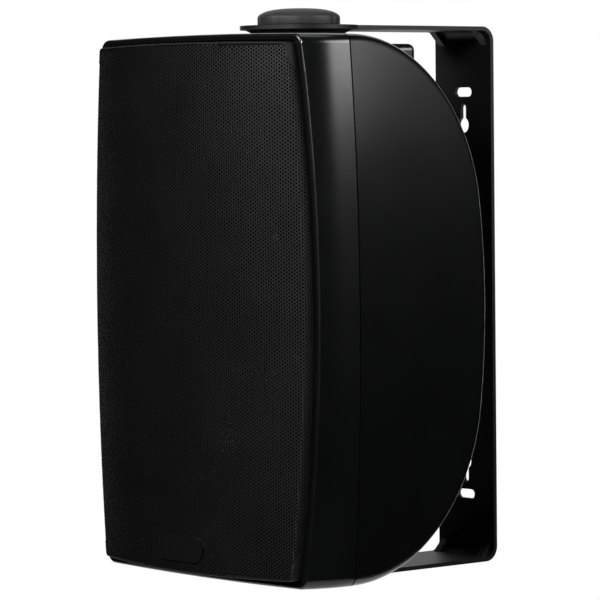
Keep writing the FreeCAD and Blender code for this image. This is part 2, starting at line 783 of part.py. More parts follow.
# Pivot hardware: a hand knob on a stud above, a low screw below, pads between arms and cabinet
def make_pivots():
    washer_low = arm_top + s.clamp_gap
    seat = washer_low + s.washer_thickness
    bore = s.stud_size / 2 + s.running_gap
    pad_low = arm_under - s.pad_thickness - s.clamp_gap
    pad_high = arm_under - s.clamp_gap
    deep = s.insert_length + s.pad_thickness
    for word, turn, sign in (("top", "Z", 1), ("bottom", "down", -1)):
        hole = s.pivot_hole / 2
        pad = [(hole, 0), (s.boss_radius, 0), (s.pad_radius, s.pad_thickness), (hole, s.pad_thickness)]
        finish(turned("%s_pad_body" % word, pad, turn, 0, axis_y, pad_low * sign), "%s_friction_pad" % word)
        edge = s.washer_size / 2
        ring = [(hole, 0), (edge, 0), (edge, s.washer_thickness), (hole, s.washer_thickness)]
        finish(turned("%s_washer_body" % word, ring, turn, 0, axis_y, washer_low * sign), "%s_washer" % word)
        wide = s.insert_size / 2
        start = (s.pod_height - s.insert_length + 2) * sign
        insert = [(bore, 0), (wide, 0), (wide, s.insert_length), (bore, s.insert_length)]
        finish(turned("%s_insert_body" % word, insert, turn, 0, axis_y, start), "%s_insert" % word)
    radius = s.knob_size / 2
    dome = [(0, s.knob_height), (0, s.knob_height - 2), (s.stud_size, s.knob_height - 2), (s.stud_size, 0),
            (radius - 1.2, 0), (radius, 1.2), (radius - 0.5, 4.0, 4.6), (radius - 6, s.knob_height - 0.9)]
    knob = turned("knob_body", dome, "Z", 0, axis_y, seat)
    lobes = []
    for number in range(8):
        angle = math.radians(45 * number)
        away = radius + s.knob_lobe - 1.1
        lobes.append(rod("knob_scallop_%d" % number, "Z", s.knob_lobe, (seat - 1, seat + s.knob_height + 1),
                         (away * math.cos(angle), axis_y + away * math.sin(angle))))
    finish(cut("knob_cut", knob, lobes), "pivot_knob")
    top = s.knob_height - 2
    shank = s.stud_size / 2
    tip = [(0, -deep), (shank - 0.8, -deep), (shank, -(deep - 0.8)), (shank, 0)]
    stud = tip + [(s.stud_size, 0), (s.stud_size, top), (0, top)]
    finish(turned("stud_body", stud, "Z", 0, axis_y, seat), "knob_stud")
    head = s.screw_head / 2
    tall = s.screw_head_height
    bolt = tip + [(head, 0), (head, tall * 0.55), (head * 0.7, tall), (2.6, tall), (2.6, tall * 0.4),
                  (0, tall * 0.4)]
    finish(turned("pivot_screw_body", bolt, "down", 0, axis_y, -seat), "pivot_screw")


# Woofer, built forward from the baffle's front face
def make_woofer():
    at = ("front", 0, ahead(s.baffle_ahead), -s.woofer_drop)
    rim = s.woofer_size / 2
    seat = woofer_bore - 0.5
    foot = s.basket_foot
    low = -s.basket_depth
    gap_in = s.pole_size / 2 + s.coil_gap
    gap_out = gap_in + s.coil_wall + s.coil_gap
    basket = [(rim, 0), (rim, s.woofer_flange), (seat - 2, s.woofer_flange), (seat - 2, -3),
              (foot - 2, low + 14), (foot - 4, low + 14), (foot - 4, low + 2.5), (gap_out + 4, low + 2.5),
              (gap_out + 4, low), (foot, low), (foot, low + 12), (seat, -5), (seat, 0)]
    shell = turned("basket_body", basket, *at)
    vents = []
    for number in range(3):
        bar = block("basket_vent_%d" % number, (-rim, rim), (-9, 9), (low + 16, dim(-8)))
        spoke = FreeCAD.Rotation(FreeCAD.Vector(0, 0, 1), 60 * number)
        bar.Placement = FreeCAD.Placement(FreeCAD.Vector(), spoke)
        across = math.cos(math.radians(60 * number))
        along = math.sin(math.radians(60 * number))
        bind(bar, "Placement.Base.x", -rim * across + 9 * along)
        bind(bar, "Placement.Base.y", -rim * along - 9 * across)
        vents.append(bar)
    star = fuse("basket_vents", vents)
    place(star, *at)
    holes = [rod("basket_hole_%d" % number, "Y", s.driver_screw / 2 + 0.3,
                 (ahead(s.baffle_ahead + s.woofer_flange + 1), ahead(s.baffle_ahead - 1)), place_xz)
             for number, place_xz in enumerate(woofer_fixings())]
    finish(cut("basket_cut", shell, [star] + holes), "woofer_basket")
    top_low = low - s.plate_thickness
    magnet_low = top_low - s.magnet_thickness
    yoke_low = magnet_low - s.plate_thickness
    plate = s.plate_size / 2
    pole = s.pole_size / 2
    inside = pole + s.magnet_clearance
    bore = s.pole_bore / 2
    ring = [(gap_out, top_low), (plate, top_low), (plate, low), (gap_out, low)]
    finish(turned("top_plate_body", ring, *at), "woofer_top_plate")
    edge = s.magnet_size / 2
    magnet = [(inside, magnet_low), (edge, magnet_low), (edge, top_low), (inside, top_low)]
    finish(turned("magnet_body", magnet, *at), "woofer_magnet")
    yoke = [(bore, yoke_low), (plate, yoke_low), (plate, magnet_low), (pole, magnet_low),
            (pole, low + 1), (bore, low + 1)]
    finish(turned("yoke_body", yoke, *at), "woofer_yoke")
    coil_out = gap_in + s.coil_wall
    coil_top = low + s.coil_rise
    coil = [(gap_in, top_low - 4), (coil_out, top_low - 4), (coil_out, coil_top), (gap_in, coil_top)]
    finish(turned("coil_body", coil, *at), "woofer_coil")
    wide = rim - s.cone_inset
    wall = s.cone_wall
    neck = (coil_out + 2, coil_top - 3 + wall * 2)
    brim = (wide - 1.5, -3 + wall)
    cone = [(coil_out, coil_top), (coil_out, coil_top - 3), (coil_out + 2, coil_top - 3), (wide, -3),
            (wide, -3 + wall), brim, neck]
    finish(turned("cone_body", cone, *at), "woofer_cone")
    # the cap's lip lies along the cone's slope
    cap = s.cap_size / 2
    slope = (brim[1] - neck[1]) / (brim[0] - neck[0])
    base = neck[1] + slope * (cap - neck[0]) + s.glue_gap
    dome = [(cap, base), (0, base + s.cap_rise), (0, base + s.cap_rise + 1),
            (cap + s.cap_lip, base + slope * s.cap_lip)]
    finish(turned("cap_body", dome, *at), "woofer_cap")
    roll = s.roll_radius
    outer = wide - 2 + 2 * roll
    crest = wide - 1 + roll * 0.9
    high = roll * 0.85
    shoulder = roll * 0.62
    lean = roll * 0.3
    surround = [(wide - 3, -3 + wall), (wide - 2, -3 + wall), (wide - 1, -2 + wall),
                (wide - 1 + lean, shoulder), (crest, high), (outer - lean, shoulder), (outer, 0.5),
                (seat - 2, 0.5), (seat - 2, 1.5), (outer + 1, 1.5),
                (outer + 0.6 - lean, shoulder + 1), (crest, high + 1),
                (wide - 1.4 + lean, shoulder + 1), (wide - 2.4, -1 + wall), (wide - 3, -2 + wall)]
    finish(turned("surround_body", surround, *at), "woofer_surround")
    level = low + 14
    waves = [(coil_out, level), (coil_out + 4, level), (coil_out + 8, level + 1.2),
             (coil_out + 12, level - 1.2), (coil_out + 16, level + 1.2), (foot - 4, level), (foot - 2, level)]
    spider = waves + [(radius, height + 0.8) for radius, height in reversed(waves)]
    finish(turned("spider_body", spider, *at), "woofer_spider")
    screws = []
    for number, (x, z) in enumerate(woofer_fixings()):
        screws.append(screw("woofer_screw_%d" % number, s.driver_screw, s.driver_screw_length, "front", x,
                            ahead(s.baffle_ahead + s.woofer_flange), z))
    finish(group("woofer_screw_set", screws), "woofer_screws")


# Dome tweeter in a dished plate
def make_tweeter():
    at = ("front", 0, ahead(s.baffle_ahead), s.tweeter_rise)
    rim = s.tweeter_size / 2
    thick = s.tweeter_plate
    dome = s.dome_size / 2
    body = s.tweeter_magnet / 2
    ring = dome + s.dome_edge
    seat = -s.dome_seat
    plate = [(ring, seat), (body, seat), (body, 0), (rim, 0), (rim, thick), (rim - s.tweeter_dish, thick),
             (ring, seat + 2)]
    holes = [rod("tweeter_hole_%d" % number, "Y", s.driver_screw / 2 + 0.3,
                 (ahead(s.baffle_ahead + thick + 1), ahead(s.baffle_ahead - 1)), place_xz)
             for number, place_xz in enumerate(tweeter_fixings())]
    finish(cut("tweeter_plate_cut", turned("tweeter_plate_body", plate, *at), holes), "tweeter_plate")
    cap = [(0, seat + 7.5), (dome * 0.55, seat + 6.2), (dome, seat + 1), (dome, seat), (dome - 0.6, seat),
           (dome * 0.5, seat + 5.4), (0, seat + 6.7)]
    finish(turned("dome_body", cap, *at), "tweeter_dome")
    crest = dome + s.dome_edge / 2
    edge = [(dome, seat + 0.4), (crest, seat + 1.4), (ring, seat + 0.4), (ring, seat + 1), (crest, seat + 2),
            (dome, seat + 1)]
    finish(turned("dome_edge_body", edge, *at), "tweeter_surround")
    top_low = seat - s.tweeter_iron
    coil_low = top_low - 2
    coil = [(dome - 0.6, coil_low), (dome, coil_low), (dome, seat), (dome - 0.6, seat)]
    finish(turned("tweeter_coil_body", coil, *at), "tweeter_coil")
    top = [(dome + 0.5, top_low), (body, top_low), (body, seat), (dome + 0.5, seat)]
    finish(turned("tweeter_top_plate_body", top, *at), "tweeter_top_plate")
    magnet_low = top_low - s.tweeter_magnet_thickness
    magnet = [(dome + 4, magnet_low), (body, magnet_low), (body, top_low), (dome + 4, top_low)]
    finish(turned("tweeter_magnet_body", magnet, *at), "tweeter_magnet")
    yoke_low = magnet_low - s.tweeter_iron
    pole = dome - 1.1
    yoke = [(0, yoke_low), (body, yoke_low), (body, magnet_low), (pole, magnet_low), (pole, seat - 1),
            (0, seat - 1)]
    finish(turned("tweeter_yoke_body", yoke, *at), "tweeter_yoke")
    screws = []
    for number, (x, z) in enumerate(tweeter_fixings()):
        screws.append(screw("tweeter_screw_%d" % number, s.driver_screw, s.driver_screw_length, "front", x,
                            ahead(s.baffle_ahead + thick), z))
    finish(group("tweeter_screw_set", screws), "tweeter_screws")


# Two reflex ports through the baffle
def make_ports():
    bore = s.port_bore / 2
    tube = [(bore, -s.port_length), (bore + 2.4, -s.port_length), (bore + 2.4, 0), (bore + 7, 0),
            (bore + 7, 1.5), (bore + 5, 2.5), (bore + 2, 2.5), (bore, 0.5)]
    tubes = [turned("port_%s" % word, tube, "front", s.port_side * side, ahead(s.baffle_ahead), s.port_rise)
             for word, side in (("left", -1), ("right", 1))]
    finish(group("port_set", tubes), "port_tubes")


# Crossover board on posts behind the drivers
def make_crossover():
    face = behind(s.board_behind)
    half = s.board_width / 2
    low = s.board_rise - s.board_height / 2
    board = block("board_blank", (-half, half), (face, face + 1.6), (low, low + s.board_height))
    holes = []
    screws = []
    for side in (-1, 1):
        for rise in (-1, 1):
            x = (half - 6) * side
            z = s.board_rise + (s.board_height / 2 - 6) * rise
            number = 2 * side + rise + 4
            holes.append(rod("board_hole_%d" % number, "Y", 1.8, (face - 1, face + 3), (x, z)))
            screws.append(screw("board_screw_%d" % number, s.small_screw, s.board_screw_length, "front",
                                x, face, z))
    finish(cut("board_cut", board, holes), "crossover_board")
    finish(group("board_screw_set", screws), "crossover_screws")
    coils = []
    bore, edge, tall = s.bobbin_bore / 2, s.bobbin_size / 2, s.bobbin_height
    under, over = s.bobbin_flange, s.bobbin_height - s.bobbin_flange
    bobbin = [(bore, 0), (edge, 0), (edge, under), (edge - 1.5, under), (edge - 1.5, over), (edge, over),
              (edge, tall), (bore, tall)]
    # places on the board are parts of its width and height
    for number, (across, up) in enumerate(((-0.21, 0.22), (0.25, -0.16))):
        coils.append(turned("bobbin_%d" % number, bobbin, "front", s.board_width * across, face,
                            s.board_rise + s.board_height * up))
    finish(group("coil_set", coils), "crossover_coils")
    caps = []
    reach = s.capacitor_length / 2
    for number, (across, up) in enumerate(((0.17, 0.30), (-0.15, -0.25))):
        x = s.board_width * across
        caps.append(rod("capacitor_%d" % number, "X", s.capacitor_size / 2, (x - reach, x + reach),
                        (face - s.capacitor_size / 2, s.board_rise + s.board_height * up)))
    finish(group("capacitor_set", caps), "crossover_capacitors")
    corner = -(s.board_width / 2 - s.resistor_inset)
    brick = block("resistor_block", (corner, corner + s.resistor_length), (face - s.resistor_height, face),
                  (s.board_rise - 1 - s.resistor_width, s.board_rise - 1))
    finish(brick, "crossover_resistor")


# Recessed terminal plate with two spring levers
def make_terminals():
    seat = behind(s.back_behind - 4)
    mid = -s.terminal_drop
    wide = s.terminal_width / 2
    tall = s.terminal_height / 2
    plate = block("terminal_plate_blank", (-wide, wide), (seat, seat + 3), (mid - tall, mid + tall))
    cup_w = s.cup_width / 2
    cup_h = s.cup_height / 2
    cup = block("terminal_cup_blank", (-cup_w, cup_w), (seat + 3 - s.cup_depth, seat + 3),
                (mid - cup_h, mid + cup_h))
    wall = 2.0
    floor = seat + 3 - s.cup_depth + wall
    hollow = block("terminal_cup_hollow", (-(cup_w - wall), cup_w - wall), (floor, seat + 4),
                   (mid - cup_h + wall, mid + cup_h - wall))
    shell = cut("terminal_shell", fuse("terminal_blank", [plate, cup]), [hollow])
    # ears carry the lever pins
    pivot_y = floor + 6
    pivot_z = mid + 8
    ears = []
    inner = s.lever_side - s.lever_width / 2 - 0.9
    outer = s.lever_side + s.lever_width / 2 + 0.9
    reach = s.lever_width / 2 + 2.9
    pin_bore = s.lever_pin / 2 + s.running_gap
    spans = (("left", (-(outer + 3.4), -outer)), ("middle", (-inner, inner)), ("right", (outer, outer + 3.4)))
    for name, x in spans:
        ears.append(block("terminal_ear_" + name, x, (floor - 1, pivot_y + 4), (pivot_z - 5, pivot_z + 5)))
    holes = []
    for word, side in (("left", -1), ("right", 1)):
        x = s.lever_side * side
        holes.append(rod("terminal_pin_bore_" + word, "X", pin_bore, (x - reach, x + reach),
                         (pivot_y, pivot_z)))
    screws = []
    for side in (-1, 1):
        for rise in (-1, 1):
            x = (wide - 5) * side
            z = mid + (tall - 5) * rise
            number = 2 * side + rise + 4
            holes.append(rod("terminal_hole_%d" % number, "Y", 1.8, (seat - 1, seat + 4), (x, z)))
            screws.append(screw("terminal_screw_%d" % number, s.small_screw, s.terminal_screw_length, "Y",
                                x, seat + 3, z))
    for side in (-1, 1):
        holes.append(rod("wire_entry_%d" % (side + 1), "Y", 1.9, (floor - 4, floor + 1),
                         (s.lever_side * side, mid - 8)))
    finish(cut("terminal_cut", fuse("terminal_eared", [shell] + ears), holes), "terminal_cup")
    finish(group("terminal_screw_set", screws), "terminal_screws")
    for word, side in (("left", -1), ("right", 1)):
        x = s.lever_side * side
        span = (x - s.lever_width / 2, x + s.lever_width / 2)
        tab = block("lever_tab_" + word, span, (pivot_y - 2, pivot_y + 6),
                    (pivot_z - s.lever_length, pivot_z - 3))
        hub = rod("lever_hub_" + word, "X", s.lever_hub / 2, span, (pivot_y, pivot_z))
        neck = block("lever_neck_" + word, span, (pivot_y - 2, pivot_y + 3.2), (pivot_z - 5, pivot_z))
        shaft = rod("lever_pin_" + word, "X", s.lever_pin / 2, (x - reach + 0.9, x + reach - 0.9),
                    (pivot_y, pivot_z))
        finish(fuse("lever_" + word, [tab, hub, neck, shaft]), "terminal_lever_" + word)
    clips = []
    for side in (-1, 1):
        x = s.lever_side * side
        back = floor - wall
        blade = block("contact_%d" % (side + 1), (x - 4, x + 4), (back - 1.2, back), (mid - 13, mid - 3))
        tag = block("contact_tag_%d" % (side + 1), (x - 2, x + 2), (back - 9, back - 1.2),
                    (mid - 13, mid - 12.2))
        clips.append(fuse("contact_clip_%d" % (side + 1), [blade, tag]))
    finish(group("contact_set", clips), "terminal_contacts")


# Long screws through the rear shell's posts into the frame
def make_shell_screws():
    screws = []
    for number, (side, rise) in enumerate(post_places):
        screws.append(screw("shell_screw_%d" % number, s.shell_screw, s.shell_screw_length, "Y",
                            s.post_side * side, ahead(seat_ahead), s.post_rise * rise))
    finish(group("shell_screw_set", screws), "shell_screws")


make_bracket()
make_rear_shell()
make_front_frame()
make_gasket()
make_grille()
make_pivots()
make_woofer()
make_tweeter()
make_ports()
make_crossover()
make_terminals()
make_shell_screws()
doc.recompute()

for item in doc.Objects:
    for word in ("Invalid", "Error"):
        if word in item.State:
            raise ValueError("%s is %s" % (item.Label, word))
os.makedirs("parts", exist_ok=True)
for item in parts:
    if item.Shape.isNull() or not item.Shape.isValid() or not item.Shape.Solids:
        raise ValueError("%s has no valid solid" % item.Label)
    item.Shape.exportStep("parts/%s.step" % item.Label)
    print(item.Label, len(item.Shape.Solids), round(item.Shape.Volume / 1000, 2), "cm3")
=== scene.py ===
import json
import math

import bpy
import numpy as np
from mathutils import Matrix, Vector


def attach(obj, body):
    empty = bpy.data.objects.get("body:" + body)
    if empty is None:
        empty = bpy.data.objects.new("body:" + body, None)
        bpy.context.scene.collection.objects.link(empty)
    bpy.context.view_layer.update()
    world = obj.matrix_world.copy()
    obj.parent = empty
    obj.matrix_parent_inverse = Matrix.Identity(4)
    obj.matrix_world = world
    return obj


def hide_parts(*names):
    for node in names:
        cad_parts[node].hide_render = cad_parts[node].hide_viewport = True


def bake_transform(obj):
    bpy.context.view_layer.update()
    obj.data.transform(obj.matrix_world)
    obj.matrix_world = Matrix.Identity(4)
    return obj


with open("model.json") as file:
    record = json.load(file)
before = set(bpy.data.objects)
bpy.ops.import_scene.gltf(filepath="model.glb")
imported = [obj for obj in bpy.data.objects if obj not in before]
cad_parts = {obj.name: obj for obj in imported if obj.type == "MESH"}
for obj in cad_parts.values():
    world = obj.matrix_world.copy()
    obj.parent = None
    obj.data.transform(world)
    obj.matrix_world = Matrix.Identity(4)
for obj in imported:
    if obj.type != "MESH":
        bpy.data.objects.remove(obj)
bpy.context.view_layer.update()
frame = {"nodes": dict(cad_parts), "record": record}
nodes = frame["nodes"]
print("frame loaded:", len(nodes), "nodes")

mm = 0.001
pivot = Vector((0.0, -134.5 * mm, 0.0))  # swivel axis of the cabinet, at mid height


# Small helpers for meshes made from whole arrays

def meshObject(name, points, faces):
    mesh = bpy.data.meshes.new(name)
    sizes = [np.full(len(part), part.shape[1]) for part in faces if len(part)]
    corners = np.concatenate([part.ravel() for part in faces if len(part)])
    sizes = np.concatenate(sizes)
    mesh.vertices.add(len(points))
    mesh.vertices.foreach_set("co", points.astype(np.float32).ravel())
    mesh.loops.add(len(corners))
    mesh.loops.foreach_set("vertex_index", corners.astype(np.int32))
    mesh.polygons.add(len(sizes))
    starts = np.concatenate([[0], np.cumsum(sizes)[:-1]])
    mesh.polygons.foreach_set("loop_start", starts.astype(np.int32))
    mesh.update(calc_edges=True)
    mesh.validate()
    piece = bpy.data.objects.new(name, mesh)
    bpy.context.scene.collection.objects.link(piece)
    return piece


# Quads between neighbours of a grid of rows by columns, joined up along the chosen directions.
def gridFaces(rows, columns, closeRows=False, closeColumns=False):
    index = np.arange(rows * columns).reshape(rows, columns)
    if closeRows:
        index = np.concatenate([index, index[:1]], 0)
    if closeColumns:
        index = np.concatenate([index, index[:, :1]], 1)
    return np.stack([index[:-1, :-1], index[:-1, 1:], index[1:, 1:], index[1:, :-1]], -1).reshape(-1, 4)


def shadeByAngle(piece, degrees):
    piece.data.shade_smooth()
    piece.data.set_sharp_from_angle(angle=math.radians(degrees))


# Node groups: each gives a tone (0 to 1, for colour and roughness) and a height for bump.

def newGroup(name):
    group = bpy.data.node_groups.new(name, "ShaderNodeTree")
    group.interface.new_socket("Vector", in_out="INPUT", socket_type="NodeSocketVector")
    group.interface.new_socket("Scale", in_out="INPUT", socket_type="NodeSocketFloat")
    for label in ("Tone", "Height"):
        group.interface.new_socket(label, in_out="OUTPUT", socket_type="NodeSocketFloat")
    return group, group.nodes.new("NodeGroupInput"), group.nodes.new("NodeGroupOutput")


def closeGroup(group, end, tone, height):
    group.links.new(tone, end.inputs["Tone"])
    group.links.new(height, end.inputs["Height"])
    return group


def mathNode(tree, operation, first, second):
    node = tree.nodes.new("ShaderNodeMath")
    node.operation = operation
    for socket, value in zip(node.inputs, (first, second)):
        if isinstance(value, (int, float)):
            socket.default_value = value
        else:
            tree.links.new(value, socket)
    return node.outputs[0]


# Two values added up, each with its own share.
def weighted(tree, first, firstShare, second, secondShare):
    return mathNode(tree, "ADD", mathNode(tree, "MULTIPLY", first, firstShare),
                    mathNode(tree, "MULTIPLY", second, secondShare))


def noiseNode(tree, vector, scale, detail):
    node = tree.nodes.new("ShaderNodeTexNoise")
    node.inputs["Detail"].default_value = detail
    tree.links.new(vector, node.inputs["Vector"])
    tree.links.new(scale, node.inputs["Scale"])
    return node.outputs[0]


# Noise at a multiple of the pattern's own scale.
def patternNoise(group, start, times, detail):
    scale = mathNode(group, "MULTIPLY", start.outputs["Scale"], times)
    return noiseNode(group, start.outputs["Vector"], scale, detail)


# Even bands across one direction.
def waveNode(group, start, direction, distortion):
    wave = group.nodes.new("ShaderNodeTexWave")
    wave.bands_direction = direction
    wave.inputs["Distortion"].default_value = distortion
    group.links.new(start.outputs["Vector"], wave.inputs["Vector"])
    group.links.new(start.outputs["Scale"], wave.inputs["Scale"])
    return wave.outputs["Fac"]


# Spark-eroded mould texture: small soft cells broken up by fine noise.
def mouldGroup():
    group, start, end = newGroup("mouldTexture")
    cells = group.nodes.new("ShaderNodeTexVoronoi")
    cells.feature = "SMOOTH_F1"
    cells.inputs["Smoothness"].default_value = 0.6
    group.links.new(start.outputs["Vector"], cells.inputs["Vector"])
    group.links.new(start.outputs["Scale"], cells.inputs["Scale"])
    fine = patternNoise(group, start, 1.7, 3.0)
    broad = patternNoise(group, start, 0.012, 4.0)
    return closeGroup(group, end, weighted(group, broad, 0.75, fine, 0.25),
                      weighted(group, cells.outputs["Distance"], 0.7, fine, 0.5))


# Powder coat: rounded orange-peel waves with a few finer specks.
def peelGroup():
    group, start, end = newGroup("powderPeel")
    waves = patternNoise(group, start, 1.0, 1.0)
    specks = patternNoise(group, start, 4.0, 2.0)
    broad = patternNoise(group, start, 0.02, 3.0)
    return closeGroup(group, end, weighted(group, broad, 0.6, specks, 0.4),
                      weighted(group, waves, 0.8, specks, 0.2))


# Drawn or turned metal: noise stretched along one direction, with darker stains.
def drawnGroup():
    group, start, end = newGroup("drawnMetal")
    stretch = group.nodes.new("ShaderNodeMapping")
    stretch.inputs["Scale"].default_value = (1.0, 1.0, 0.06)
    group.links.new(start.outputs["Vector"], stretch.inputs["Vector"])
    streaks = noiseNode(group, stretch.outputs[0], start.outputs["Scale"], 3.0)
    stain = patternNoise(group, start, 0.08, 4.0)
    return closeGroup(group, end, weighted(group, streaks, 0.45, stain, 0.55), streaks)


# Woven threads: two crossed waves, the higher one on top, with some fuzz.
def weaveGroup():
    group, start, end = newGroup("wovenThreads")
    both = mathNode(group, "MAXIMUM", waveNode(group, start, "X", 0.6), waveNode(group, start, "Z", 0.6))
    fuzz = patternNoise(group, start, 1.0, 4.0)
    return closeGroup(group, end, weighted(group, both, 0.6, fuzz, 0.4), both)


# Wound wire: even turns stacked along the winding's axis.
def windingGroup():
    group, start, end = newGroup("woundWire")
    turns = waveNode(group, start, "Y", 0.3)
    varnish = patternNoise(group, start, 0.2, 3.0)
    return closeGroup(group, end, weighted(group, turns, 0.5, varnish, 0.5), turns)


patterns = {"mould": mouldGroup(), "peel": peelGroup(), "drawn": drawnGroup(), "weave": weaveGroup(),
            "winding": windingGroup()}

# One finish per material slot, and one more for the grille's folded edges, whose darker tones are painted
# shade from the frame's lip, on a rougher, less glossy finish: two tones (linear), roughness range, and the
# pattern with its scale per metre and its depth in metres
finishes = {
    "cabinet": dict(dark=(0.0009, 0.0010, 0.0011), light=(0.0018, 0.0019, 0.0021), rough=(0.20, 0.28),
                    specular=0.40, pattern="mould", scale=1500.0, depth=0.020 * mm),
    "bracket_paint": dict(dark=(0.0012, 0.0012, 0.0013), light=(0.0024, 0.0024, 0.0026), rough=(0.44, 0.58),
                          specular=0.20, pattern="peel", scale=900.0, depth=0.025 * mm),
    "grille_paint": dict(dark=(0.0014, 0.0014, 0.0015), light=(0.0028, 0.0028, 0.0030), rough=(0.30, 0.42),
                         specular=0.35, pattern="peel", scale=1400.0, depth=0.012 * mm),
    # Grille folds and hem: the darker tones are painted shade under the frame's lip
    "grille_fold_shade": dict(dark=(0.0012, 0.0012, 0.0013), light=(0.0024, 0.0024, 0.0026), rough=(0.52, 0.68),
                        specular=0.18, pattern="peel", scale=1400.0, depth=0.016 * mm),
    "badge": dict(dark=(0.0012, 0.0012, 0.0013), light=(0.0026, 0.0026, 0.0028), rough=(0.34, 0.44),
                  specular=0.20, pattern="drawn", scale=1600.0, depth=0.006 * mm),
    "knob": dict(dark=(0.0070, 0.0070, 0.0074), light=(0.0115, 0.0115, 0.0120), rough=(0.50, 0.64),
                 specular=0.30, pattern="mould", scale=1300.0, depth=0.025 * mm),
    "rubber": dict(dark=(0.0060, 0.0060, 0.0062), light=(0.0120, 0.0118, 0.0118), rough=(0.70, 0.88),
                   specular=0.20, pattern="peel", scale=2200.0, depth=0.02 * mm),
    "zinc_steel": dict(dark=(0.36, 0.37, 0.39), light=(0.60, 0.61, 0.63), rough=(0.28, 0.46), metallic=1.0,
                       specular=0.5, pattern="drawn", scale=1800.0, depth=0.004 * mm),
    "black_steel": dict(dark=(0.010, 0.010, 0.011), light=(0.024, 0.024, 0.026), rough=(0.34, 0.50),
                        specular=0.5, pattern="drawn", scale=1800.0, depth=0.004 * mm),
    "brass": dict(dark=(0.48, 0.30, 0.10), light=(0.70, 0.50, 0.21), rough=(0.24, 0.42), metallic=1.0,
                  specular=0.5, pattern="drawn", scale=1800.0, depth=0.004 * mm),
    "basket": dict(dark=(0.008, 0.008, 0.008), light=(0.016, 0.016, 0.017), rough=(0.40, 0.55),
                   specular=0.4, pattern="peel", scale=800.0, depth=0.02 * mm),
    "ferrite": dict(dark=(0.020, 0.020, 0.021), light=(0.050, 0.048, 0.047), rough=(0.62, 0.82),
                    specular=0.35, pattern="mould", scale=900.0, depth=0.03 * mm),
    "copper": dict(dark=(0.42, 0.14, 0.05), light=(0.72, 0.32, 0.14), rough=(0.26, 0.42), metallic=1.0,
                   specular=0.5, pattern="winding", scale=700.0, depth=0.10 * mm),
    "cone": dict(dark=(0.022, 0.022, 0.023), light=(0.050, 0.050, 0.052), rough=(0.20, 0.32),
                 specular=0.90, pattern="mould", scale=700.0, depth=0.05 * mm),
    "cloth": dict(dark=(0.16, 0.10, 0.04), light=(0.34, 0.23, 0.10), rough=(0.80, 0.95),
                  specular=0.2, pattern="weave", scale=420.0, depth=0.08 * mm),
    "dome": dict(dark=(0.030, 0.030, 0.032), light=(0.070, 0.070, 0.074), rough=(0.20, 0.32),
                 specular=0.5, pattern="weave", scale=800.0, depth=0.02 * mm),
    "tweeter_plastic": dict(dark=(0.010, 0.010, 0.011), light=(0.022, 0.022, 0.024), rough=(0.28, 0.40),
                            specular=0.4, pattern="mould", scale=1500.0, depth=0.015 * mm),
    "board": dict(dark=(0.016, 0.050, 0.022), light=(0.040, 0.105, 0.046), rough=(0.34, 0.50),
                  specular=0.4, pattern="weave", scale=500.0, depth=0.01 * mm),
    "capacitor": dict(dark=(0.09, 0.055, 0.012), light=(0.22, 0.14, 0.035), rough=(0.25, 0.38),
                      specular=0.5, pattern="peel", scale=500.0, depth=0.02 * mm),
    "ceramic": dict(dark=(0.45, 0.44, 0.41), light=(0.68, 0.67, 0.63), rough=(0.55, 0.75),
                    specular=0.4, pattern="mould", scale=1100.0, depth=0.03 * mm),
    "lever_red": dict(dark=(0.22, 0.010, 0.008), light=(0.36, 0.022, 0.016), rough=(0.32, 0.46),
                      specular=0.45, pattern="mould", scale=1500.0, depth=0.015 * mm),
    "lever_black": dict(dark=(0.008, 0.008, 0.008), light=(0.016, 0.016, 0.017), rough=(0.32, 0.46),
                        specular=0.45, pattern="mould", scale=1500.0, depth=0.015 * mm),
}


def makeMaterial(slot, look):
    material = bpy.data.materials.new(slot)
    material.use_nodes = True
    tree = material.node_tree
    shader = tree.nodes["Principled BSDF"]
    place = tree.nodes.new("ShaderNodeTexCoord")
    pattern = tree.nodes.new("ShaderNodeGroup")
    pattern.node_tree = patterns[look["pattern"]]
    pattern.inputs["Scale"].default_value = look["scale"]
    tree.links.new(place.outputs["Object"], pattern.inputs["Vector"])
    colour = tree.nodes.new("ShaderNodeMix")
    colour.data_type = "RGBA"
    colour.inputs["A"].default_value = (*look["dark"], 1.0)
    colour.inputs["B"].default_value = (*look["light"], 1.0)
    tree.links.new(pattern.outputs["Tone"], colour.inputs["Factor"])
    tree.links.new(colour.outputs["Result"], shader.inputs["Base Color"])
    rough = tree.nodes.new("ShaderNodeMapRange")
    rough.inputs["To Min"].default_value = look["rough"][0]
    rough.inputs["To Max"].default_value = look["rough"][1]
    tree.links.new(pattern.outputs["Tone"], rough.inputs["Value"])
    tree.links.new(rough.outputs["Result"], shader.inputs["Roughness"])
    bump = tree.nodes.new("ShaderNodeBump")
    bump.inputs["Strength"].default_value = 1.0
    bump.inputs["Distance"].default_value = look["depth"]
    tree.links.new(pattern.outputs["Height"], bump.inputs["Height"])
    tree.links.new(bump.outputs["Normal"], shader.inputs["Normal"])
    shader.inputs["Metallic"].default_value = look.get("metallic", 0.0)
    shader.inputs["Specular IOR Level"].default_value = look["specular"]
    return material


materials = {slot: makeMaterial(slot, look) for slot, look in finishes.items()}
for part in frame["record"]["subparts"]:
    mesh = nodes[part["node"]].data
    mesh.materials.clear()
    mesh.materials.append(materials[part["material_slot"]])
print("materials made:", len(materials))


